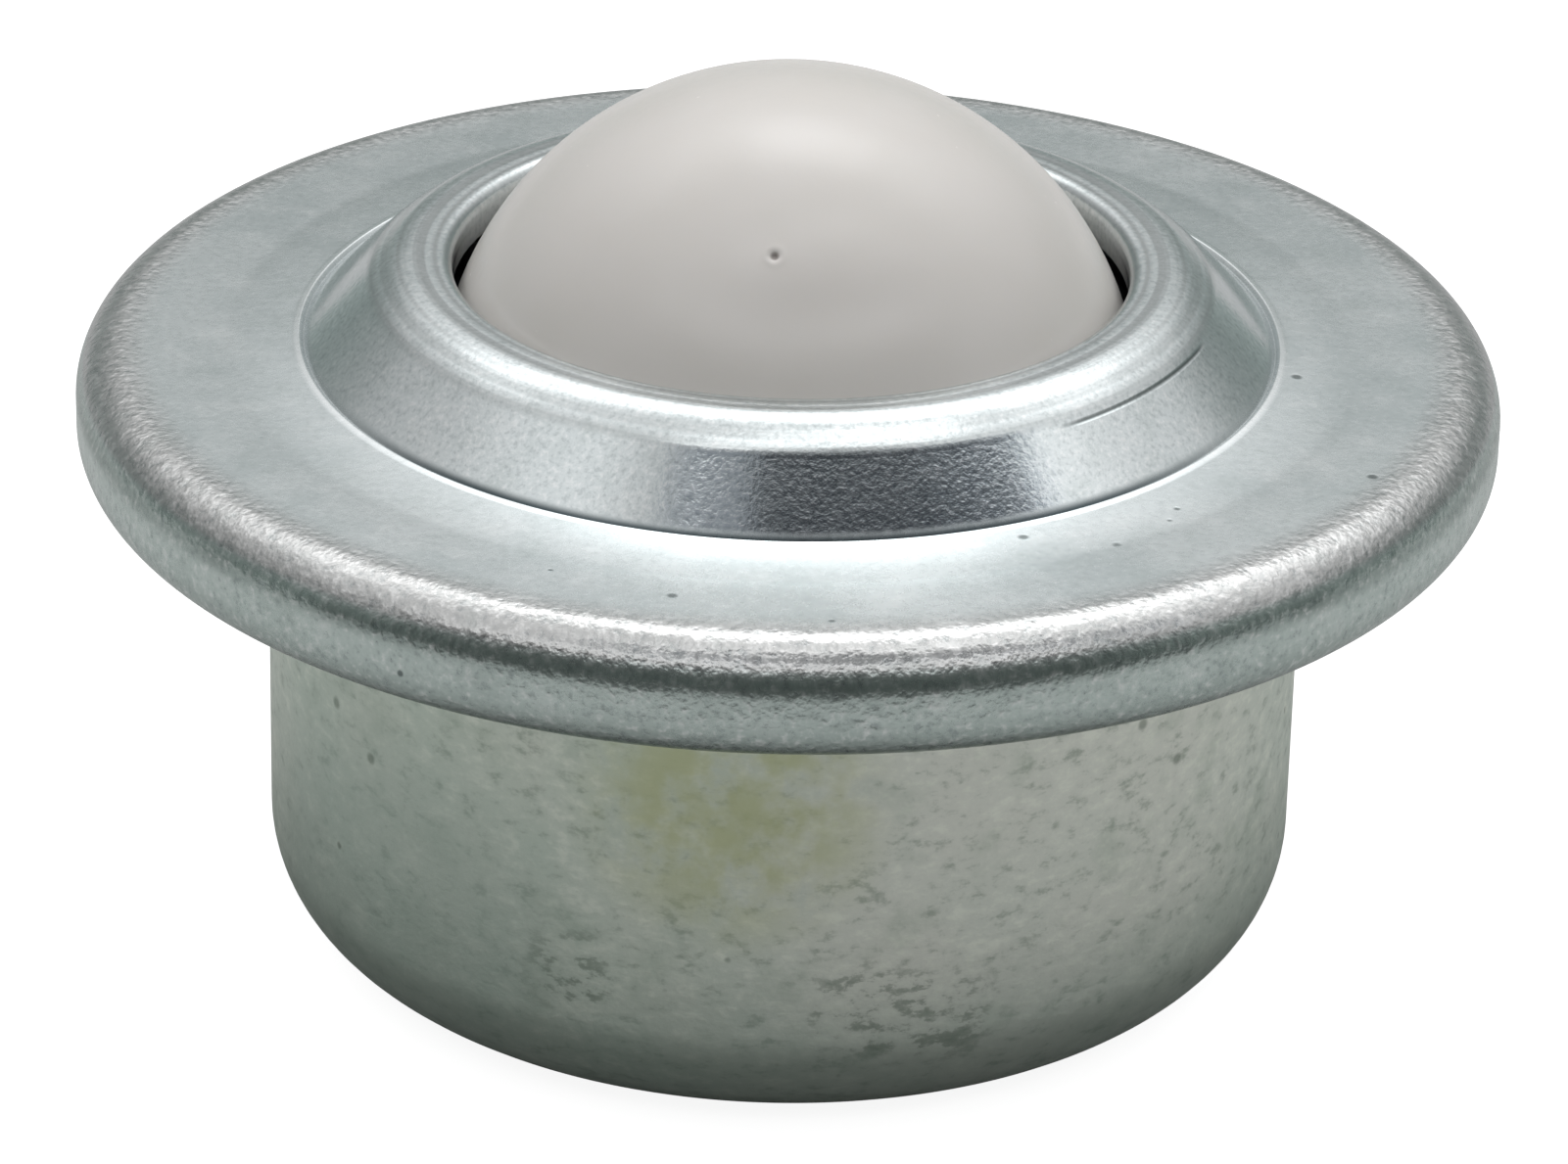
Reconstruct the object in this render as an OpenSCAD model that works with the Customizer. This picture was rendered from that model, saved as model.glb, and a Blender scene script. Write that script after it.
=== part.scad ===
// Ball transfer unit, drop-in flanged type. A plastic load ball turns on a bed of
// small steel balls in a hardened seat. The seat stands in a deep-drawn cup, and a
// pressed cap holds everything down: its raised collar keeps the load ball in, and
// its rim is folded over and under the cup's own flange.
// The origin is the middle of the underside, +Z points up through the load ball.

/* [Load ball] */
// Diameter of the load ball (1 inch)
load_ball_d = 25.4; // [22:0.1:30]

/* [Support balls] */
// Diameter of one support ball (1/8 inch)
support_ball_d = 3.175; // [2.5:0.025:4]
// Running gap between a support ball and each ball or seat that it touches
running_gap = 0.04; // [0.02:0.01:0.1]
// Gap between neighbouring support balls of a row, and between rows
neighbour_gap = 0.03; // [0.02:0.01:0.1]
// Highest angle of a row, measured round the load ball from its lowest point
top_row_angle = 92; // [80:1:95]

/* [Ball seat] */
// Thickness of the seat outside the race
seat_wall = 1.3; // [1:0.1:2.5]
// Thickness of the seat under its lowest point
seat_floor = 2.4; // [1.5:0.1:4]
// Radial gap between the seat and the cup that it stands in
seat_gap = 0.05; // [0.02:0.01:0.2]

/* [Cup housing] */
// Sheet thickness of the housing
housing_sheet = 1.4; // [1:0.1:2]
// Outside radius of the rounded bottom corner
housing_corner = 4.5; // [3:0.1:7]
// Outside radius of the bend from the wall into the flange
housing_flange_bend = 0.8; // [0.4:0.1:1.5]

/* [Cap] */
// Sheet thickness of the cap
cap_sheet = 1.4; // [1:0.1:2]
// Diameter over the folded rim
flange_d = 51; // [48:0.5:60]
// Height of the rim's top above the middle of the load ball
flange_rise = 3; // [2.5:0.1:4]
// How much lower the flange is at the rim than at the collar's foot
flange_fall = 0.2; // [0:0.05:0.5]
// Height of the collar above the flange at the collar's foot
collar_h = 3; // [2.5:0.1:3.6]
// Slope of the collar's side, from level
collar_angle = 45; // [36:1:48]
// Radius of the shoulder where the collar's side turns in to its mouth
shoulder_bend = 2.4; // [1.6:0.1:4]
// Radius of the crease at the foot of the collar
foot_bend = 0.3; // [0.2:0.1:0.8]
// Rounding of the mouth's upper edge
mouth_edge = 0.5; // [0.2:0.1:0.8]
// Gap between the load ball and the mouth's lower edge
mouth_gap = 0.3; // [0.2:0.05:0.6]

/* [Folded rim] */
// Radius of the rim's upper edge
rim_bend = 1.8; // [1.7:0.1:2.2]
// Radius of the rim's lower edge
hem_bend = 1.5; // [1.45:0.05:2]
// Width of the rim under the flange, from its outside to the cut edge
hem_width = 3.4; // [2.5:0.1:4.5]
// Gap between the folded sheets
seam_gap = 0.05; // [0.02:0.01:0.2]

/* [Hidden] */
// Smoothness of turned surfaces and of balls
turn_fn = 128;
ball_fn = 64;
support_fn = 32;
// Largest turn between two points of a bend
bend_step = 10;

// Balls, from the middle of the load ball outwards
load_ball_r = load_ball_d / 2;
orbit_r = load_ball_r + running_gap + support_ball_d / 2;
race_r = orbit_r + support_ball_d / 2 + running_gap;
seat_r = race_r + seat_wall;
housing_r = seat_r + seat_gap + housing_sheet;
ball_z = housing_sheet + seat_floor + race_r;

// Rows of support balls, as angles round the load ball from its lowest point
pitch = support_ball_d + neighbour_gap;
first_row_angle = asin(pitch / orbit_r);
row_step = 2 * asin(pitch / (2 * orbit_r));
rows = floor((top_row_angle - first_row_angle) / row_step) + 1;

// Heights of the cap's upper face, and radii along it
rim_r = flange_d / 2;
rim_top_z = ball_z + flange_rise;
foot_z = rim_top_z + flange_fall;
crest_z = foot_z + collar_h;
crest_r = seat_r - collar_h / tan(collar_angle);
mouth_r = sqrt(pow(load_ball_r + mouth_gap, 2) - pow(crest_z - cap_sheet - ball_z, 2));
shoulder_room = (crest_r - mouth_r - mouth_edge) / tan(collar_angle / 2);
shoulder_r = min(shoulder_bend, 0.98 * shoulder_room);

// Folded sheets of the rim, from the top down
housing_flange_z = rim_top_z - cap_sheet - seam_gap;
housing_flange_r = rim_r - rim_bend;
hem_z = housing_flange_z - housing_sheet - seam_gap - cap_sheet;

// Seat: a rim under the cap, a wall in the cup, a 45 degree cone and a flat foot
seat_top_z = foot_z - cap_sheet - seam_gap;
seat_cone_z = ball_z - seat_r * (sqrt(2) - 1);
seat_foot_r = seat_r * sqrt(2) - (ball_z - housing_sheet);

// --- Sheet metal sections -------------------------------------------------
// A path is a list of [radius, height, bend radius] along one face of the sheet.

function place(p) = [p[0], p[1]];
function heading(a, b) = (place(b) - place(a)) / norm(place(b) - place(a));
function right_of(v) = [v[1], -v[0]];
function turns_left(u, v) = u[0] * v[1] - u[1] * v[0] > 0;
function short_way(a) = a > 180 ? a - 360 : a < -180 ? a + 360 : a;
function backwards(list) = [for (i = [len(list) - 1:-1:0]) list[i]];

// Points of a bend of radius r at the corner b, between its neighbours a and c
function bend(a, b, c, r) =
    let (
        to_a = heading(b, a),
        to_c = heading(b, c),
        half = acos(to_a * to_c) / 2,
        middle = place(b) + (to_a + to_c) / norm(to_a + to_c) * r / sin(half),
        first = place(b) + to_a * r / tan(half) - middle,
        last = place(b) + to_c * r / tan(half) - middle,
        from = atan2(first[1], first[0]),
        turn = short_way(atan2(last[1], last[0]) - from),
        steps = ceil(abs(turn) / bend_step)
    )
    [for (i = [0:steps]) middle + r * [cos(from + turn * i / steps), sin(from + turn * i / steps)]];

// A path with its bends drawn in
function bent(path) = [
    for (i = [0:len(path) - 1])
        each (i == 0 || i == len(path) - 1 || path[i][2] == 0)
            ? [place(path[i])]
            : bend(path[i - 1], path[i], path[i + 1], path[i][2])
];

// The other face of a sheet: the path moved t to its right, or to its left if t is negative
function other_face(path, t) =
    let (last = len(path) - 1)
    [
        for (i = [0:last])
            let (
                u = heading(path[max(i - 1, 0)], path[max(i, 1)]),
                v = heading(path[min(i, last - 1)], path[min(i + 1, last)]),
                n = right_of(u),
                m = right_of(v),
                spot = place(path[i]) + t * (n + m) / (1 + n * m),
                wider = turns_left(u, v) ? t : -t
            )
            [spot[0], spot[1], path[i][2] == 0 ? 0 : path[i][2] + wider]
    ];

// --- Paths ----------------------------------------------------------------

// Outside of the cup, from the middle of its base to the edge of its flange
housing_path = [
    [0, 0, 0],
    [housing_r, 0, housing_corner],
    [housing_r, housing_flange_z - housing_sheet, housing_flange_bend],
    [housing_flange_r, housing_flange_z - housing_sheet, 0],
];

// Upper face of the cap, from its mouth over the collar and flange, round and under the rim
cap_path = [
    [mouth_r, crest_z, 0],
    [crest_r, crest_z, shoulder_r],
    [seat_r, foot_z, foot_bend],
    [rim_r, rim_top_z, rim_bend],
    [rim_r, hem_z, hem_bend],
    [rim_r - hem_width, hem_z, 0],
];

seat_outline = [
    [0, housing_sheet],
    [seat_foot_r, housing_sheet],
    [seat_r, seat_cone_z],
    [seat_r, seat_top_z],
    [0, seat_top_z],
];

// --- Pieces ---------------------------------------------------------------

module turned(section) {
    rotate_extrude($fn = turn_fn) polygon(section);
}

// Deep-drawn cup with a flat base, a rounded corner and a flange
module housing() {
    inside = bent(other_face(housing_path, -housing_sheet));
    color("darkseagreen") turned(concat(bent(housing_path), backwards(inside)));
}

// Hardened seat with the round race that the support balls run in
module ball_seat() {
    color("dimgray") difference() {
        turned(seat_outline);
        translate([0, 0, ball_z]) sphere(r = race_r, $fn = turn_fn);
        translate([0, 0, ball_z]) cylinder(r = race_r, h = seat_top_z, $fn = turn_fn);
    }
}

// Pressed cap: mouth, collar, flange and folded rim in one sheet
module cap() {
    upper = bent(concat([[mouth_r, crest_z - cap_sheet, 0], [mouth_r, crest_z, mouth_edge]],
        [for (i = [1:len(cap_path) - 1]) cap_path[i]]));
    under = bent(other_face(cap_path, cap_sheet));
    color("lightsteelblue") turned(concat(upper, [for (i = [len(under) - 1:-1:1]) under[i]]));
}

module load_ball() {
    color("gainsboro") translate([0, 0, ball_z]) sphere(r = load_ball_r, $fn = ball_fn);
}

// The one support ball under the load ball's lowest point
module support_ball_bottom() {
    support_balls(1, 0);
}

// Row k of the bed, as many balls as fit on its circle
module support_balls_row(k) {
    angle = first_row_angle + (k - 1) * row_step;
    support_balls(floor(180 / asin(pitch / (2 * orbit_r * sin(angle)))), angle);
}

// A ring of support balls that lies at an angle round the load ball from its lowest point
module support_balls(count, angle) {
    color("silver") for (i = [0:count - 1])
        rotate([0, 0, 360 * i / count])
            translate([orbit_r * sin(angle), 0, ball_z - orbit_r * cos(angle)])
                sphere(d = support_ball_d, $fn = support_fn);
}

housing();
ball_seat();
cap();
load_ball();
support_ball_bottom();
for (k = [1:rows])
    support_balls_row(k);
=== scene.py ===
"""Looks of the drop-in ball transfer unit: the pressed cap and drawn cup in zinc plate, the
nylon load ball, and the steel balls and seat inside, on a pale floor in a studio dome."""

import math
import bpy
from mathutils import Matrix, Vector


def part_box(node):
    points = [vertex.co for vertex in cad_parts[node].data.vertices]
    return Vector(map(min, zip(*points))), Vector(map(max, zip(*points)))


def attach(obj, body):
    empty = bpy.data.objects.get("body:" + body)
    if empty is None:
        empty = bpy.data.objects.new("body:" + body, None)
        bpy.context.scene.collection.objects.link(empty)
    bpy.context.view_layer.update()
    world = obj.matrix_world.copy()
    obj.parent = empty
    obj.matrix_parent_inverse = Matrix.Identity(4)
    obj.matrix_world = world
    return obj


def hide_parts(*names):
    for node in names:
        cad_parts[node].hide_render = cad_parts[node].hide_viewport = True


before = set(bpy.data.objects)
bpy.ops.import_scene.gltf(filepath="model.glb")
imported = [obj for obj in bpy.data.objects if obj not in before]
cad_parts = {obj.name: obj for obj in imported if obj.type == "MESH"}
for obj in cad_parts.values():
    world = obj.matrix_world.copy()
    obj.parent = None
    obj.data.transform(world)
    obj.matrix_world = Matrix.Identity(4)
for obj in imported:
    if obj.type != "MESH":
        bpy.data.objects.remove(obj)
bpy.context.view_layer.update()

from types import SimpleNamespace

import bpy
from mathutils import Matrix, Vector

MM = 0.001

# --- Sizes, in metres -------------------------------------------------------
cap_low, cap_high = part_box("cap")
cup_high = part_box("housing")[1]
ball_low, ball_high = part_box("load_ball")

RIM_R = cap_high.x
CREST_Z = cap_high.z
HEM_Z = cap_low.z
BALL_R = (ball_high.z - ball_low.z) / 2
BALL_Z = (ball_high.z + ball_low.z) / 2

CAP_SHEET = 1.4 * MM
CUP_SHEET = 1.4 * MM
CUP_R = 18.705 * MM
CUP_CORNER = 4.5 * MM
CUP_FLANGE_BEND = 0.8 * MM
CUP_FLANGE_R = cup_high.x
CUP_FLANGE_Z = cup_high.z
FOOT_R = 17.255 * MM
COLLAR_H = 3.0 * MM
COLLAR_SLOPE = math.radians(45)
FLANGE_FALL = 0.2 * MM
MOUTH_R = 12.079 * MM
MOUTH_EDGE = 0.5 * MM
SHOULDER_BEND = 2.37 * MM
FOOT_BEND = 0.3 * MM
RIM_BEND = 1.8 * MM
HEM_BEND = 1.5 * MM
HEM_WIDTH = 3.4 * MM
CREASE_DEPTH = 0.12 * MM

FOOT_Z = CREST_Z - COLLAR_H
RIM_TOP_Z = FOOT_Z - FLANGE_FALL
CREST_R = FOOT_R - COLLAR_H / math.tan(COLLAR_SLOPE)

# The shoulder goes over in two bends: a full one from the crest, then a slight one on the collar
SHOULDER_TOP_R = CREST_R - 0.339 * MM
SHOULDER_TOP_BEND = 1.9 * MM
SHOULDER_LOW_DROP = 0.792 * MM
SHOULDER_LOW_BEND = 2.0 * MM

# The fine crease at the collar's foot: each corner's way out and up from the foot, and its bend
CREASE_CORNERS = (
    (CREASE_DEPTH, -CREASE_DEPTH * math.tan(COLLAR_SLOPE), 0.04 * MM),
    (0.28 * MM, 0.05 * MM, 0.09 * MM),
    (0.55 * MM, -0.02 * MM, 0.5 * MM),
)

# Where the flange's fall ends: out from the foot, up from the rim's top, and the bend there
FALL_END_OUT = 2.9 * MM
FALL_END_UP = 0.01 * MM
FALL_END_BEND = 6 * MM

TURN_STEPS = 256
BEND_STEP = math.radians(5)
SMOOTH_ANGLE = math.radians(25)
WELD = 0.002 * MM
SLIVER = 0.001 * MM


# --- Sheet metal sections ---------------------------------------------------
def bend_points(a, b, c, radius):
    """Points of a bend at corner b of a sheet's face, between its neighbours a and c."""
    to_a = (a - b).normalized()
    to_c = (c - b).normalized()
    half = to_a.angle(to_c) / 2
    middle = b + (to_a + to_c).normalized() * radius / math.sin(half)
    start = b + to_a * radius / math.tan(half) - middle
    end = b + to_c * radius / math.tan(half) - middle
    turn = -start.angle_signed(end)
    steps = max(2, math.ceil(abs(turn) / BEND_STEP))
    return [middle + Matrix.Rotation(turn * i / steps, 2) @ start for i in range(steps + 1)]


def bent(path):
    """A path of (radius, height, bend radius) as points, with its bends drawn in."""
    spots = [Vector(p[:2]) for p in path]
    points = [spots[0]]
    for i in range(1, len(path) - 1):
        if path[i][2]:
            points += bend_points(spots[i - 1], spots[i], spots[i + 1], path[i][2])
        else:
            points.append(spots[i])
    return points + [spots[-1]]


def other_face(path, shift):
    """The sheet's other face: the path moved to its right, or to its left if shift is negative."""
    spots = [Vector(p[:2]) for p in path]
    last = len(path) - 1
    moved = []
    for i, spot in enumerate(spots):
        u = (spots[max(i, 1)] - spots[max(i - 1, 0)]).normalized()
        v = (spots[min(i + 1, last)] - spots[min(i, last - 1)]).normalized()
        n = Vector((u.y, -u.x))
        m = Vector((v.y, -v.x))
        place = spot + (n + m) * shift / (1 + n.dot(m))
        wider = shift if u.cross(v) > 0 else -shift
        moved.append((place.x, place.y, path[i][2] + wider if path[i][2] else 0))
    return moved


# --- Modelling helpers --------------------------------------------------------
def start_piece(name):
    """The object that the last operator added, under its own name."""
    piece = bpy.context.object
    piece.name = piece.data.name = name
    return piece


def turned(name, section):
    """A closed section of (radius, height) points, spun round the unit's centre line."""
    bpy.ops.object.select_all(action="DESELECT")
    bpy.ops.mesh.primitive_circle_add(vertices=len(section), radius=RIM_R, fill_type="NOTHING")
    piece = start_piece(name)
    for corner, point in zip(piece.data.vertices, section):
        corner.co = (point.x, 0, point.y)
    bpy.ops.object.mode_set(mode="EDIT")
    bpy.ops.mesh.select_all(action="SELECT")
    bpy.ops.mesh.spin(steps=TURN_STEPS, angle=math.tau, center=(0, 0, 0), axis=(0, 0, 1))
    bpy.ops.mesh.select_all(action="SELECT")
    bpy.ops.mesh.remove_doubles(threshold=WELD)
    bpy.ops.mesh.dissolve_degenerate(threshold=SLIVER)
    bpy.ops.mesh.select_all(action="SELECT")
    bpy.ops.mesh.normals_make_consistent(inside=False)
    bpy.ops.object.mode_set(mode="OBJECT")
    bpy.ops.object.shade_smooth_by_angle(angle=SMOOTH_ANGLE)
    return piece


def seat_piece(piece, cad_node, body, finish):
    """piece stands for a CAD node, rides on its body and takes its finish."""
    piece.data.materials.clear()
    piece.data.materials.append(finish)
    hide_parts(cad_node)
    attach(piece, body)


# --- Shader maths ---------------------------------------------------------------
class Field:
    """A value that varies over a surface. Python's operators add the Math nodes."""

    def __init__(self, tree, socket):
        self.tree = tree
        self.socket = socket

    def other(self, output):
        """Another output of the same node, by its name or number."""
        return Field(self.tree, self.socket.node.outputs[output])

    def math(self, operation, *values):
        """A Math node on this value and the others."""
        numbers = dict(enumerate((self, *values)))
        return node(self.tree, "ShaderNodeMath", {"operation": operation}, numbers)

    def __add__(self, other):
        return self.math("ADD", other)

    __radd__ = __add__

    def __mul__(self, other):
        return self.math("MULTIPLY", other)

    __rmul__ = __mul__

    def __sub__(self, other):
        return self.math("SUBTRACT", other)

    def __rsub__(self, other):
        return (self * -1).math("ADD", other)

    def __truediv__(self, other):
        return self.math("DIVIDE", other)

    def least(self, other):
        return self.math("MINIMUM", other)

    def most(self, other):
        return self.math("MAXIMUM", other)

    def rise(self, low, high):
        """0 below low, 1 above high, smooth between; falls instead if high is the lower."""
        settings = {"interpolation_type": "SMOOTHSTEP"}
        values = {0: self, 1: low, 2: high, 3: 0.0, 4: 1.0}
        return node(self.tree, "ShaderNodeMapRange", settings, values)

    def band(self, middle, half_width):
        """1 at middle, falling smoothly to 0 at half_width on either side."""
        return (self - middle).math("ABSOLUTE").rise(half_width, 0.0)


def node(tree, kind, settings=None, values=None, output=0):
    """Adds one node: its settings, then its sockets' values or links. Returns an output."""
    made = tree.nodes.new(kind)
    for key, value in (settings or {}).items():
        if key == "stops":
            set_stops(made.color_ramp, value)
        else:
            setattr(made, key, value)
    for key, value in (values or {}).items():
        plug(tree, made.inputs[key], value)
    return Field(tree, made.outputs[output])


def set_stops(band, stops):
    """Gives a ramp its stops of (place from 0 to 1, grey from 0 to 1)."""
    band.interpolation = "LINEAR"
    while len(band.elements) < len(stops):
        band.elements.new(0.5)
    for element, (place, grey) in zip(band.elements, stops):
        element.position = place
        element.color = (grey, grey, grey, 1)


def plug(tree, socket, value):
    """Links a Field to a socket, or sets a constant on it; a colour is given full alpha."""
    if isinstance(value, Field):
        tree.links.new(value.socket, socket)
    elif socket.type == "RGBA":
        socket.default_value = (*value, 1.0)
    else:
        socket.default_value = value


# The Mix node has sockets for each kind of data: these are the ones for colours
MIX_A = 6
MIX_B = 7
MIX_RESULT = 2


def mix(tree, factor, a, b):
    """Colour a where factor is 0, colour b where it is 1."""
    values = {"Factor": factor, MIX_A: a, MIX_B: b}
    return node(tree, "ShaderNodeMix", {"data_type": "RGBA"}, values, output=MIX_RESULT)


def layered(tree, colour, layers):
    """A colour under layers of (how much from 0 to 1, colour), the lowest first."""
    for share, layer in layers:
        colour = mix(tree, share, colour, layer)
    return colour


def parts_of(tree, vector):
    """A vector's X, Y and Z."""
    split = node(tree, "ShaderNodeSeparateXYZ", {}, {"Vector": vector})
    return split, split.other("Y"), split.other("Z")


class Place:
    """Object coordinates: the vector, its X, Y and Z, and the distance from the centre line."""

    def __init__(self, tree):
        self.spot = node(tree, "ShaderNodeTexCoord").other("Object")
        self.x, self.y, self.z = parts_of(tree, self.spot)
        self.radius = (self.x * self.x + self.y * self.y).math("SQRT")


def noise(tree, spot, size, detail=2.0, rough=0.5, stretch=(1, 1, 1)):
    """Noise from 0 to 1 whose spots are about size across, in metres."""
    scaled = node(tree, "ShaderNodeMapping", {}, {"Vector": spot, "Scale": stretch})
    values = {"Vector": scaled, "Scale": 1 / size, "Detail": detail, "Roughness": rough}
    return node(tree, "ShaderNodeTexNoise", {}, values)


def specks(tree, spot, spacing, size, share):
    """1 in small round specks: about one per spacing cube, in a share of the cells."""
    settings = {"feature": "F1", "distance": "EUCLIDEAN"}
    values = {"Vector": spot, "Scale": 1 / spacing, "Randomness": 1.0}
    near = node(tree, "ShaderNodeTexVoronoi", settings, values)
    pick = node(tree, "ShaderNodeSeparateColor", {}, {"Color": near.other("Color")})
    return near.rise(size / spacing, 0.4 * size / spacing) * pick.rise(share + 0.02, share)


def round_spot(height, azimuth, radius):
    """A place on the unit: height and radius in metres, azimuth in degrees from the near side."""
    a = math.radians(azimuth)
    return (radius * math.sin(a), -radius * math.cos(a), height)


def near_point(tree, spot, point, radius):
    """1 at a point, falling to 0 at a radius round it."""
    settings = {"operation": "DISTANCE"}
    far = node(tree, "ShaderNodeVectorMath", settings, {0: spot, 1: point}).other("Value")
    return far.rise(radius, 0.35 * radius)


def rings(tree, radius, size):
    """Noise that changes with the distance from the centre line alone, as turning marks do."""
    line = node(tree, "ShaderNodeCombineXYZ", {}, {"X": radius})
    return noise(tree, line, size)


def marks(tree, spot, places, size):
    """1 at each place, falling to 0 at size from it. Heights and radii are in mm here."""
    total = 0.0
    for height, azimuth, radius in places:
        point = round_spot(height * MM, azimuth, radius * MM)
        total = near_point(tree, spot, point, size) + total
    return total.least(1.0)


def new_finish(name):
    """An empty material: the material, its tree and its shader."""
    material = bpy.data.materials.new(name)
    material.use_nodes = True
    return material, material.node_tree, material.node_tree.nodes["Principled BSDF"]


def relief(tree, shader, height, depth):
    """Bump of a height field of 0 to 1, depth metres deep."""
    values = {"Strength": 1.0, "Distance": depth, "Height": height}
    plug(tree, shader.inputs["Normal"], node(tree, "ShaderNodeBump", {}, values))


# --- Zinc plate of the cap ------------------------------------------------------
# Dark specks: each one's height in mm, azimuth in degrees from the near side and radius in mm
FLANGE_SPECKS = (
    (22.9, 25.9, 18.42),
    (22.9, 33.8, 20.12),
    (22.9, 81.0, 18.23),
    (22.8, 61.9, 22.89),
    (22.8, -9.8, 21.73),
)
SMALL_SPECKS = (
    (22.9, 43.8, 19.26),
    (21.88, -51, 25.4),
    (22.9, -62, 20.6),
    (22.9, -35, 21.2),
    (22.8, 4, 23.1),
)
LARGE_SPECK = 0.26 * MM
SMALL_SPECK = 0.17 * MM

# Where the cap's masks go from 0 to 1: in radius or height, and for the last three in y or x
RIM_FADE = (RIM_R - 2.9 * MM, RIM_R - 1.4 * MM)
SIDE_FADE = (RIM_TOP_Z - 0.75 * MM, RIM_TOP_Z - 1.1 * MM)
# The hem fade marks painted shade, darker towards the hem where the rim meets the cup
HEM_SHADE_FADE = (HEM_Z + 1.9 * MM, HEM_Z + 0.9 * MM)
CONE_FADE = (FOOT_Z + 0.04 * MM, FOOT_Z + 0.22 * MM)
FOOT_FADE = (FOOT_Z + 0.35 * MM, FOOT_Z + 0.15 * MM)
CREST_FADE = (CREST_Z - 1.0 * MM, CREST_Z - 0.7 * MM)
NEAR_COLLAR_FADE = (20.4 * MM, 18.2 * MM)
NEAR_SIDE_FADE = (-7 * MM, -14 * MM)
SCRATCH_NEAR_FADE = (-4.5 * MM, -5.6 * MM)
SCRATCH_RIGHT_FADE = (9.1 * MM, 10.2 * MM)

# Bands of the cap: the middle and the half width
# The under-edge band marks a painted dark reflection on the rim's side, just under its rolled edge
UNDER_EDGE_BAND = (RIM_TOP_Z - 1.35 * MM, 0.65 * MM)
# The crease highlight band marks a painted highlight: a bright ring just outside the collar's foot
CREASE_HIGHLIGHT_BAND = (FOOT_R + 0.38 * MM, 0.22 * MM)
# The crease shade band marks painted shade in the crease at the collar's foot
CREASE_SHADE_BAND = (FOOT_R + 0.06 * MM, 0.24 * MM)
SCRATCH_BAND = (15.28 * MM, 0.09 * MM)

# Noise becomes soft clouds between these two levels
CLOUD_FADE = (0.3, 0.7)

CAP_RELIEF = 0.035 * MM

CAP_ZINC_DARK = (0.53, 0.58, 0.585)
CAP_ZINC_LIGHT = (0.59, 0.63, 0.635)
COLLAR_FOOT_ZINC = (0.70, 0.75, 0.76)
COLLAR_ZINC = (0.74, 0.79, 0.80)
RIM_TOP_ZINC = (0.465, 0.46, 0.455)
RIM_SIDE_ZINC = (0.54, 0.62, 0.59)
PATCH_LIGHT = (0.86, 0.88, 0.88)
PATCH_DARK = (0.34, 0.40, 0.38)
# Painted dark reflection on the rim's side under its edge
UNDER_EDGE_PAINTED_REFLECTION = (0.24, 0.29, 0.27)
# Painted shade at the hem, where the rim meets the cup
HEM_PAINTED_SHADE = (0.22, 0.27, 0.25)
# Light grain; on the collar it is also painted sparkle
GRAIN_AND_SPARKLE_LIGHT = (0.95, 0.95, 0.95)
GRAIN_DARK = (0.20, 0.23, 0.24)
# Dark grit on the collar, partly painted sparkle
GRIT_AND_SPARKLE_DARK = (0.22, 0.25, 0.26)
RING_DARK = (0.36, 0.38, 0.38)
SPECK_DARK = (0.08, 0.10, 0.10)
SCRATCH_DARK = (0.12, 0.14, 0.14)
# Painted highlight in a thin ring beside the collar's foot
PAINTED_CREASE_HIGHLIGHT = (0.93, 0.96, 0.97)
# Painted shade in the crease at the collar's foot
CREASE_PAINTED_SHADE = (0.05, 0.07, 0.08)


def cap_textures(tree, at):
    """The cap's noises, from fine to coarse, and the rings of its crest."""
    return SimpleNamespace(
        grit=noise(tree, at.spot, 0.20 * MM, rough=0.6),
        grain=noise(tree, at.spot, 0.30 * MM, rough=0.6),
        pebble=noise(tree, at.spot, 0.60 * MM),
        patch=noise(tree, at.spot, 1.6 * MM, detail=3.0, rough=0.6),
        cloud=noise(tree, at.spot, 5.0 * MM, detail=3.0),
        ring=rings(tree, at.radius, 0.45 * MM),
    )


def cap_zones(at):
    """The cap's parts, each 1 inside and 0 outside."""
    edge = at.radius.rise(*RIM_FADE)
    side = at.z.rise(*SIDE_FADE) * edge
    cone = at.z.rise(*CONE_FADE)
    foot = at.z.rise(*FOOT_FADE)
    aside = 1 - at.y.rise(*NEAR_SIDE_FADE)
    return SimpleNamespace(
        edge=edge,
        side=side,
        cone=cone,
        rim_top=edge * (1 - side),
        # Painted dark reflection: a band on the rim's side under its edge
        under_edge_reflection=at.z.band(*UNDER_EDGE_BAND) * edge,
        # Painted shade, darker towards the hem
        hem=at.z.rise(*HEM_SHADE_FADE) * edge,
        crest=at.z.rise(*CREST_FADE),
        near_collar=at.radius.rise(*NEAR_COLLAR_FADE) * (1 - cone),
        # Painted highlight beside the collar's foot, brighter at the sides and back
        crease_highlight=at.radius.band(*CREASE_HIGHLIGHT_BAND) * foot * (0.25 + aside * 0.45),
        # Painted shade in the crease, darkest on the near side
        crease_shade=at.radius.band(*CREASE_SHADE_BAND) * foot * (0.95 - aside * 0.75),
    )


def cap_specks(tree, at, cone):
    """1 in the flange's dark specks, both the scattered ones and the placed ones."""
    scattered = specks(tree, at.spot, 2.6 * MM, 0.16 * MM, 0.14) * (1 - cone)
    large = marks(tree, at.spot, FLANGE_SPECKS, LARGE_SPECK)
    small = marks(tree, at.spot, SMALL_SPECKS, SMALL_SPECK)
    return scattered.most(large).most(small)


def cap_scratch(at, cone):
    """1 along the thin scratch on the collar's right."""
    line = at.radius.band(*SCRATCH_BAND) * cone
    return line * at.y.rise(*SCRATCH_NEAR_FADE) * at.x.rise(*SCRATCH_RIGHT_FADE)


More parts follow.
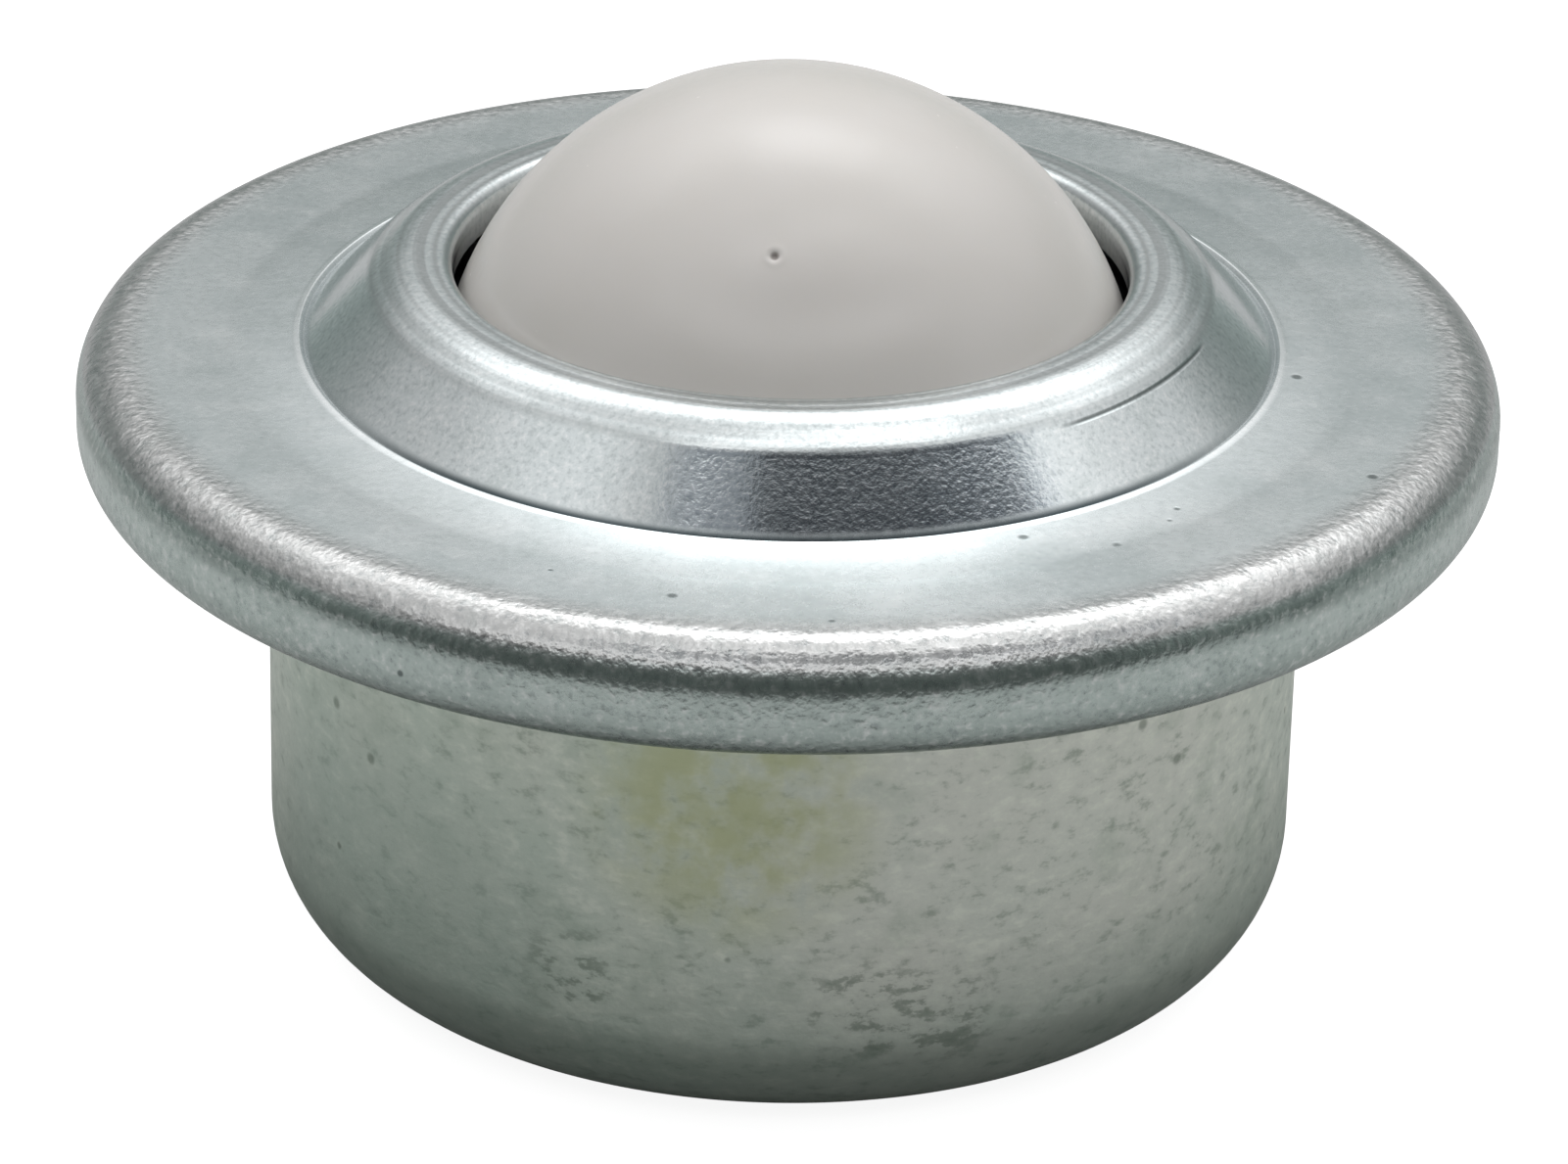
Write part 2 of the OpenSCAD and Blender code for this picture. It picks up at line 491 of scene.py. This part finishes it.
def cap_colour(tree, noises, zone, dots, scratch):
    """The cap's plate under its patches, grain and dark marks, with painted light and shade: a
    dark reflection under the rim's edge, shade at the hem and in the crease, a highlight beside
    the crease and sparkle on the collar.
    """
    grain, grit, patch = noises.grain, noises.grit, noises.patch
    plate = mix(tree, noises.cloud.rise(*CLOUD_FADE), CAP_ZINC_DARK, CAP_ZINC_LIGHT)
    layers = (
        (zone.near_collar * 0.55, COLLAR_FOOT_ZINC),
        (zone.cone * 0.6, COLLAR_ZINC),
        (zone.rim_top * 0.8, RIM_TOP_ZINC),
        (zone.side, RIM_SIDE_ZINC),
        (patch.rise(0.5, 0.75) * 0.22, PATCH_LIGHT),
        (patch.rise(0.5, 0.25) * (0.18 + zone.side * 0.25), PATCH_DARK),
        # Painted dark reflection under the rim's edge, patchy
        (zone.under_edge_reflection * (0.18 + patch * noises.cloud * 1.6), UNDER_EDGE_PAINTED_REFLECTION),
        # Painted shade at the hem
        (zone.hem * (0.20 + patch * 0.50), HEM_PAINTED_SHADE),
        (grain.rise(0.5, 0.8) * (0.08 + 0.35 * zone.edge), GRAIN_AND_SPARKLE_LIGHT),
        (grain.rise(0.5, 0.2) * (0.10 + 0.40 * zone.edge), GRAIN_DARK),
        # The collar's grit: partly grain, partly painted sparkle of light and dark
        (grit.rise(0.52, 0.72) * zone.cone * 0.35, GRAIN_AND_SPARKLE_LIGHT),
        (grit.rise(0.50, 0.28) * zone.cone * 0.28, GRIT_AND_SPARKLE_DARK),
        (zone.crest * noises.ring.rise(0.58, 0.38) * 0.6, RING_DARK),
        (dots * 0.75, SPECK_DARK),
        (scratch * 0.85, SCRATCH_DARK),
        # Painted highlight beside the collar's foot
        (zone.crease_highlight, PAINTED_CREASE_HIGHLIGHT),
        # Painted shade in the crease
        (zone.crease_shade, CREASE_PAINTED_SHADE),
    )
    return layered(tree, plate, layers)


def cap_roughness(noises, zone):
    """Smoothest on the collar's cone, a little duller on its crest."""
    plain = 0.20 + noises.grain * 0.08 + noises.cloud * 0.06
    return plain - zone.cone * 0.15 + zone.crest * 0.10 + zone.edge * 0.01


def cap_height(noises, zone, dots, scratch):
    """Coarse on the rim, faint on the flange, with fine grit and rings on the collar."""
    bumpy = zone.edge * 1.3 + (1 - zone.cone) * 0.14
    height = (noises.grain * 0.55 + noises.pebble * 0.45) * bumpy
    height = height + noises.grit * zone.cone * 0.15 + noises.ring * zone.crest * 0.6
    return height - dots * 0.3 - scratch * 0.6


def zinc_cap_finish():
    """Bright zinc plate: smooth on the flange, grained on the rim, mirror-like on the collar."""
    material, tree, shader = new_finish("zinc_plate_cap")
    at = Place(tree)
    noises = cap_textures(tree, at)
    zone = cap_zones(at)
    dots = cap_specks(tree, at, zone.cone)
    scratch = cap_scratch(at, zone.cone)
    shader.inputs["Metallic"].default_value = 1.0
    plug(tree, shader.inputs["Base Color"], cap_colour(tree, noises, zone, dots, scratch))
    plug(tree, shader.inputs["Roughness"], cap_roughness(noises, zone))
    relief(tree, shader, cap_height(noises, zone, dots, scratch), CAP_RELIEF)
    return material


# --- Zinc plate of the cup ------------------------------------------------------
# Each as a height in mm, an azimuth in degrees from the near side and a radius in mm
CUP_SPECKS = ((12.83, -56.6, 18.7), (11.56, -49.9, 18.7), (12.57, 47.7, 18.7), (14.55, 42.0, 18.7))
CUP_SMUDGES = ((5.22, 13.5, 18.7), (5.0, 19.0, 18.7), (6.07, -22.1, 18.7), (5.6, 8.5, 18.7))
CUP_SPECK = 0.30 * MM
CUP_SMUDGE = 2.4 * MM

# Wide marks, with a painted highlight and painted shade among them: the middle and how far they
# reach
CUP_HIGHLIGHT_AREA = (round_spot(12 * MM, 30, CUP_R), 17 * MM)
# Painted shade low on the cup's left
CUP_SHADE_AREA = (round_spot(5 * MM, -48, CUP_R), 13 * MM)
STAIN_AREA = (round_spot(13.5 * MM, -5, CUP_R), 6.5 * MM)
# Painted shade, darker towards the cup's bottom
BOTTOM_SHADE_FADE = (8 * MM, 3 * MM)

CUP_RELIEF = 0.03 * MM

CUP_ZINC_DARK = (0.56, 0.64, 0.56)
CUP_ZINC_LIGHT = (0.65, 0.70, 0.62)
# Painted highlight on the cup's right
CUP_PAINTED_HIGHLIGHT = (0.76, 0.76, 0.71)
FLAKE_LIGHT = (0.84, 0.88, 0.78)
FLAKE_DARK = (0.28, 0.34, 0.28)
CUP_PATCH_DARK = (0.38, 0.46, 0.38)
CUP_GRAIN_LIGHT = (0.85, 0.87, 0.80)
CUP_PAINTED_SHADE = (0.36, 0.45, 0.40)
YELLOW_STAIN = (0.49, 0.53, 0.31)
CUP_SPECK_DARK = (0.14, 0.18, 0.14)


def cup_colour(tree, at, grain, flake, cloud, dots):
    """The cup's plate under its flakes, patches, stain and dark marks, with a painted highlight on
    the right and painted shade low on the left and towards the bottom.
    """
    patch = noise(tree, at.spot, 2.6 * MM, detail=4.0, rough=0.6)
    bright = near_point(tree, at.spot, *CUP_HIGHLIGHT_AREA)
    low_shade = near_point(tree, at.spot, *CUP_SHADE_AREA).most(at.z.rise(*BOTTOM_SHADE_FADE) * 0.8)
    stain = near_point(tree, at.spot, *STAIN_AREA)
    smudge = marks(tree, at.spot, CUP_SMUDGES, CUP_SMUDGE) * flake.rise(0.52, 0.42)
    plate = mix(tree, cloud.rise(*CLOUD_FADE), CUP_ZINC_DARK, CUP_ZINC_LIGHT)
    layers = (
        # Painted highlight on the cup's right
        (bright * 0.5, CUP_PAINTED_HIGHLIGHT),
        (flake.rise(0.5, 0.70) * 0.55, FLAKE_LIGHT),
        (flake.rise(0.48, 0.27) * 0.65, FLAKE_DARK),
        (patch.rise(0.5, 0.3) * 0.35, CUP_PATCH_DARK),
        (grain.rise(0.5, 0.8) * 0.25, CUP_GRAIN_LIGHT),
        # Painted shade low on the left and towards the bottom
        (low_shade * 0.55, CUP_PAINTED_SHADE),
        (stain * patch.rise(0.32, 0.60) * 0.85, YELLOW_STAIN),
        (dots.most(smudge * 0.75) * 0.6, CUP_SPECK_DARK),
    )
    return layered(tree, plate, layers)


def zinc_cup_finish():
    """Duller zinc plate with a greenish cast, flakes, dark specks and a faint yellow stain."""
    material, tree, shader = new_finish("zinc_plate_cup")
    at = Place(tree)
    grain = noise(tree, at.spot, 0.30 * MM)
    flake = noise(tree, at.spot, 1.0 * MM, detail=4.0, rough=0.65, stretch=(1, 1, 1.8))
    cloud = noise(tree, at.spot, 7.0 * MM, detail=3.0)
    scattered = specks(tree, at.spot, 2.0 * MM, 0.2 * MM, 0.3)
    dots = scattered.most(marks(tree, at.spot, CUP_SPECKS, CUP_SPECK))
    shader.inputs["Metallic"].default_value = 1.0
    plug(tree, shader.inputs["Base Color"], cup_colour(tree, at, grain, flake, cloud, dots))
    plug(tree, shader.inputs["Roughness"], 0.30 + grain * 0.10 + cloud * 0.08)
    relief(tree, shader, grain * 0.4 + flake * 0.6 - dots * 0.3, CUP_RELIEF)
    return material


# --- Nylon and steel --------------------------------------------------------------
PIT_RISE = math.radians(49.5)
PIT_AZIMUTH = -4.06
PIT_Z = BALL_Z + BALL_R * math.sin(PIT_RISE)
PIT_SPOT = round_spot(PIT_Z, PIT_AZIMUTH, BALL_R * math.cos(PIT_RISE))
PIT_R = 0.15 * MM
PIT_DEPTH = 0.13 * MM
PIT_STAIN_R = 0.21 * MM
PIT_LIP_R = 0.33 * MM
PIT_LIP_WIDTH = 0.13 * MM
PIT_LIP_RISE = 0.012 * MM
PIT_REACH = 2 * MM
PIT_PATCH_R = 1.1 * MM
PIT_CUTS = 7
BALL_SEGMENTS = 192
BALL_RINGS = 96

FINE_RELIEF = 0.004 * MM

NYLON_DARK = (0.73, 0.70, 0.665)
NYLON_LIGHT = (0.755, 0.725, 0.695)
PIT_DIRT = (0.10, 0.07, 0.06)
HARDENED_STEEL = (0.30, 0.31, 0.32)
BEARING_STEEL = (0.55, 0.56, 0.57)


def nylon_finish():
    """Off-white semi-gloss nylon with a dark spot in its moulding pit."""
    material, tree, shader = new_finish("nylon_ball")
    spot = Place(tree).spot
    cloud = noise(tree, spot, 5.0 * MM)
    grain = noise(tree, spot, 0.35 * MM)
    body = mix(tree, cloud.rise(*CLOUD_FADE), NYLON_DARK, NYLON_LIGHT)
    pit = near_point(tree, spot, PIT_SPOT, PIT_STAIN_R)
    plug(tree, shader.inputs["Base Color"], mix(tree, pit * 0.9, body, PIT_DIRT))
    plug(tree, shader.inputs["Roughness"], 0.18 + grain * 0.12)
    shader.inputs["Subsurface Weight"].default_value = 0.05
    shader.inputs["Subsurface Radius"].default_value = (1.0, 0.8, 0.6)
    shader.inputs["Subsurface Scale"].default_value = 0.8 * MM
    relief(tree, shader, grain, FINE_RELIEF)
    return material


def steel_finish(name, colour, roughness, grain_size):
    """Bare steel with a faint grain."""
    material, tree, shader = new_finish(name)
    grain = noise(tree, Place(tree).spot, grain_size)
    darker = tuple(0.8 * c for c in colour)
    plug(tree, shader.inputs["Base Color"], mix(tree, grain.rise(0.35, 0.65), darker, colour))
    shader.inputs["Metallic"].default_value = 1.0
    plug(tree, shader.inputs["Roughness"], roughness + grain * 0.1)
    relief(tree, shader, grain, FINE_RELIEF)
    return material


# --- Pieces -----------------------------------------------------------------------
def make_cap(finish):
    """One sheet: mouth, shoulder, collar, foot crease, flange, rolled rim and folded hem."""
    face = [
        (MOUTH_R, CREST_Z, 0),
        (CREST_R, CREST_Z, SHOULDER_BEND),
        (FOOT_R, FOOT_Z, FOOT_BEND),
        (RIM_R, RIM_TOP_Z, RIM_BEND),
        (RIM_R, HEM_Z, HEM_BEND),
        (RIM_R - HEM_WIDTH, HEM_Z, 0),
    ]
    mouth = [(MOUTH_R, CREST_Z - CAP_SHEET, 0), (MOUTH_R, CREST_Z, MOUTH_EDGE)]
    shoulder = [
        (SHOULDER_TOP_R, CREST_Z, SHOULDER_TOP_BEND),
        (CREST_R + SHOULDER_LOW_DROP, CREST_Z - SHOULDER_LOW_DROP, SHOULDER_LOW_BEND),
    ]
    crease = [(FOOT_R + out, FOOT_Z + up, bend) for out, up, bend in CREASE_CORNERS]
    fall_end = [(FOOT_R + FALL_END_OUT, RIM_TOP_Z + FALL_END_UP, FALL_END_BEND)]
    upper = bent(mouth + shoulder + crease + fall_end + face[3:])
    under = bent(other_face(face, CAP_SHEET))
    piece = turned("pressed_cap", upper + under[:0:-1])
    seat_piece(piece, "cap", "housing", finish)


def make_cup(finish):
    """The drawn cup with its own flange, which the cap's rim holds."""
    outside = [
        (0, 0, 0),
        (CUP_R, 0, CUP_CORNER),
        (CUP_R, CUP_FLANGE_Z - CUP_SHEET, CUP_FLANGE_BEND),
        (CUP_FLANGE_R, CUP_FLANGE_Z - CUP_SHEET, 0),
    ]
    inside = bent(other_face(outside, -CUP_SHEET))
    piece = turned("drawn_cup", bent(outside) + inside[::-1])
    seat_piece(piece, "housing", "housing", finish)


def pit_lift(far):
    """How far the ball's face is raised, in metres, at a distance from the middle of its pit."""
    hollow = PIT_DEPTH * math.exp(-((far / PIT_R) ** 2))
    lip = PIT_LIP_RISE * math.exp(-(((far - PIT_LIP_R) / PIT_LIP_WIDTH) ** 2))
    return lip - hollow


def cut_finely(piece, point, reach):
    """Cuts up the faces within reach of a point."""
    bpy.ops.object.mode_set(mode="EDIT")
    bpy.ops.mesh.select_all(action="DESELECT")
    bpy.ops.object.mode_set(mode="OBJECT")
    for face in piece.data.polygons:
        face.select = (face.center - point).length < reach
    bpy.ops.object.mode_set(mode="EDIT")
    bpy.ops.mesh.subdivide(number_cuts=PIT_CUTS)
    bpy.ops.object.mode_set(mode="OBJECT")


def make_ball(finish):
    """The load ball, with the small pit that its moulding leaves."""
    middle = Vector((0, 0, BALL_Z))
    pit = Vector(PIT_SPOT)
    bpy.ops.object.select_all(action="DESELECT")
    bpy.ops.mesh.primitive_uv_sphere_add(
        segments=BALL_SEGMENTS, ring_count=BALL_RINGS, radius=BALL_R, location=middle
    )
    piece = start_piece("nylon_load_ball")
    bpy.ops.object.transform_apply(location=True, rotation=True, scale=True)
    cut_finely(piece, pit, PIT_PATCH_R)
    for corner in piece.data.vertices:
        far = (corner.co - pit).length
        if far < PIT_REACH:
            out = (corner.co - middle).normalized()
            corner.co = middle + out * (BALL_R + pit_lift(far))
    bpy.ops.object.shade_smooth()
    seat_piece(piece, "load_ball", "load_ball", finish)


def dress_inner_steel():
    """Gives the seat and the support balls, which keep their own form, their finishes."""
    hardened = steel_finish("hardened_steel", HARDENED_STEEL, 0.35, 0.8 * MM)
    polished = steel_finish("bearing_steel", BEARING_STEEL, 0.12, 1.5 * MM)
    for name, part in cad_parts.items():
        if name.startswith("support_ball") or name == "ball_seat":
            part.data.materials.clear()
            part.data.materials.append(hardened if name == "ball_seat" else polished)


# --- Stage, light and camera ---------------------------------------------------------
FLOOR_SIZE = 8.0
FLOOR_NEAR_GREY = (0.14, 0.14, 0.14)
FLOOR_GREY = (0.40, 0.40, 0.40)
BLACK = (0.0, 0.0, 0.0)
WHITE = (1.0, 1.0, 1.0)
CAMERA_GLOW = 0.90
MIRRORED_GLOW = 0.18

# The floor is darker towards the near side, and metal mirrors none of its glow there or at
# the unit's foot
FLOOR_NEAR_FADE = (-100 * MM, -72 * MM)
FLOOR_FOOT_FADE = (19 * MM, 34 * MM)


def make_floor():
    """A pale floor that glows for the camera and, more dimly, for what metal mirrors."""
    bpy.ops.object.select_all(action="DESELECT")
    bpy.ops.mesh.primitive_plane_add(size=FLOOR_SIZE, location=(0, 0, 0))
    floor = start_piece("pale_floor")
    material, tree, shader = new_finish("pale_floor")
    at = Place(tree)
    beside = at.y.rise(*FLOOR_NEAR_FADE)
    plug(tree, shader.inputs["Base Color"], mix(tree, beside, FLOOR_NEAR_GREY, FLOOR_GREY))
    shader.inputs["Roughness"].default_value = 1.0
    shader.inputs["Specular IOR Level"].default_value = 0.0
    rays = node(tree, "ShaderNodeLightPath")
    mirrored = rays.other("Is Glossy Ray").most(rays.other("Is Transmission Ray"))
    mirrored = mirrored * at.radius.rise(*FLOOR_FOOT_FADE) * beside
    glow = rays.other("Is Camera Ray") * CAMERA_GLOW + mirrored * MIRRORED_GLOW
    plug(tree, shader.inputs["Emission Color"], mix(tree, glow, BLACK, WHITE))
    shader.inputs["Emission Strength"].default_value = 1.0
    floor.data.materials.append(material)


# Brightness of the sky against the sine of the height above the horizon
SKY_PEAK = 2.4
SKY_GAIN = 1.06
BACK_SKY = (
    (0, 0.38),
    (0.15, 0.28),
    (0.30, 0.36),
    (0.40, 0.49),
    (0.44, 0.62),
    (0.54, 0.85),
    (0.64, 1.0),
    (0.72, 2.0),
    (0.84, 2.0),
    (0.92, 1.05),
)
SIDE_SKY = (
    (0, 0.28),
    (0.15, 0.22),
    (0.3, 0.28),
    (0.42, 0.5),
    (0.63, 0.72),
    (0.76, 1.0),
    (0.9, 1.0),
    (1, 0.9),
)
FRONT_SKY = (
    (0, 0.14),
    (0.5, 0.1),
    (0.58, 0.16),
    (0.63, 0.4),
    (0.68, 1.1),
    (0.72, 2.0),
    (0.78, 2.0),
    (0.83, 0.7),
    (0.93, 0.48),
)
LOW_TINT = (0.88, 1.0, 0.965)

# Ways round the horizon, as a sine, at which the back and the front sky take over
BACK_FADE = (0.25, 0.85)
FRONT_FADE = (-0.25, -0.7)
ZENITH_SOFTENING = 0.002

# The dark beam overhead, which crosses the near half of the sky from side to side
BEAM_CURVE = 0.75
BEAM_FAR_EDGE = (-0.335, -0.385)
BEAM_NEAR_EDGE = (-0.60, -0.53)
BEAM_LEFT_END = (-0.36, -0.28)
BEAM_LEFT_STEP = (-0.12, -0.05)
BEAM_RIGHT_END = (0.68, 0.60)
BEAM_SHADE = 0.935
BEAM_TINT = (0.86, 0.98, 1.18)


def sky_level(tree, x, y, z):
    """How bright the sky is in each direction, without the beam."""
    ramps = []
    for sky in (BACK_SKY, SIDE_SKY, FRONT_SKY):
        stops = [(place, grey / SKY_PEAK) for place, grey in sky]
        ramps.append(node(tree, "ShaderNodeValToRGB", {"stops": stops}, {0: z}))
    back_sky, side_sky, front_sky = ramps
    ahead = y / (x * x + y * y + ZENITH_SOFTENING).math("SQRT")
    back = ahead.rise(*BACK_FADE)
    front = ahead.rise(*FRONT_FADE)
    level = back_sky * back + side_sky * (1 - back - front) + front_sky * front
    return level * SKY_PEAK * SKY_GAIN * (1 + x * z.rise(0.2, 0.5) * 0.2)


def beam_mask(x, y):
    """How much of the sky's light the dark beam takes."""
    across = y - x * x * BEAM_CURVE
    ends = x.rise(*BEAM_LEFT_STEP) * 0.90 + x.rise(*BEAM_LEFT_END) * 0.5
    edges = across.rise(*BEAM_FAR_EDGE) * across.rise(*BEAM_NEAR_EDGE)
    return edges * ends.least(BEAM_SHADE) * x.rise(*BEAM_RIGHT_END)


def make_dome():
    """A studio dome: bright behind and above, dim at the sides, a strip light on the near side."""
    world = bpy.data.worlds.new("studio_dome")
    bpy.context.scene.world = world
    world.use_nodes = True
    tree = world.node_tree
    x, y, z = parts_of(tree, node(tree, "ShaderNodeTexCoord"))
    beam = beam_mask(x, y)
    tint = mix(tree, z.rise(0.10, 0.50), LOW_TINT, WHITE)
    light = tree.nodes["Background"].inputs
    plug(tree, light["Color"], mix(tree, beam, tint, BEAM_TINT))
    plug(tree, light["Strength"], sky_level(tree, x, y, z) * (1 - beam * z.rise(0, 0.5)))


LAMP_FAR = 1.2
# Name, way from the ball, width, height and radiance
LAMPS = (
    ("window_lamp", (0.06, 0.50, 0.866), 0.54, 0.38, 1.8),
    ("ceiling_lamp", (0.05, -0.11, 0.99), 0.95, 0.22, 1.35),
)


def make_lamp(name, way, width, height, radiance):
    """A soft panel that faces the ball."""
    data = bpy.data.lights.new(name, "AREA")
    data.shape = "RECTANGLE"
    data.size = width
    data.size_y = height
    data.energy = radiance * math.pi * width * height
    lamp = bpy.data.objects.new(name, data)
    bpy.context.scene.collection.objects.link(lamp)
    middle = Vector((0, 0, BALL_Z))
    spot = middle + Vector(way).normalized() * LAMP_FAR
    lamp.location = spot
    lamp.rotation_euler = (spot - middle).to_track_quat("Z", "Y").to_euler()


def make_lamps():
    """One panel high behind the unit, one overhead."""
    for lamp in LAMPS:
        make_lamp(*lamp)


CAMERA_RISE = math.radians(24.54)
CAMERA_FAR = 256.8 * MM
CAMERA_DIP = math.radians(1.365)
CAMERA_ROLL = math.radians(1.319)
CAMERA_LENS = 163.7
CAMERA_NEAREST = 0.01
CAMERA_FARTHEST = 50


def make_camera():
    """A long lens that looks down on the unit from the near side."""
    data = bpy.data.cameras.new("camera")
    data.lens = CAMERA_LENS
    data.clip_start = CAMERA_NEAREST
    data.clip_end = CAMERA_FARTHEST
    camera = bpy.data.objects.new("camera", data)
    bpy.context.scene.collection.objects.link(camera)
    back = CAMERA_FAR * math.cos(CAMERA_RISE)
    camera.location = (0, -back, BALL_Z + CAMERA_FAR * math.sin(CAMERA_RISE))
    tilt = Matrix.Rotation(math.pi / 2 - CAMERA_RISE - CAMERA_DIP, 4, "X")
    camera.rotation_euler = (tilt @ Matrix.Rotation(CAMERA_ROLL, 4, "Z")).to_euler()
    bpy.context.scene.camera = camera


make_camera()
make_floor()
make_dome()
make_lamps()
make_cap(zinc_cap_finish())
make_cup(zinc_cup_finish())
make_ball(nylon_finish())
dress_inner_steel()
bpy.context.scene.view_settings.view_transform = "Standard"
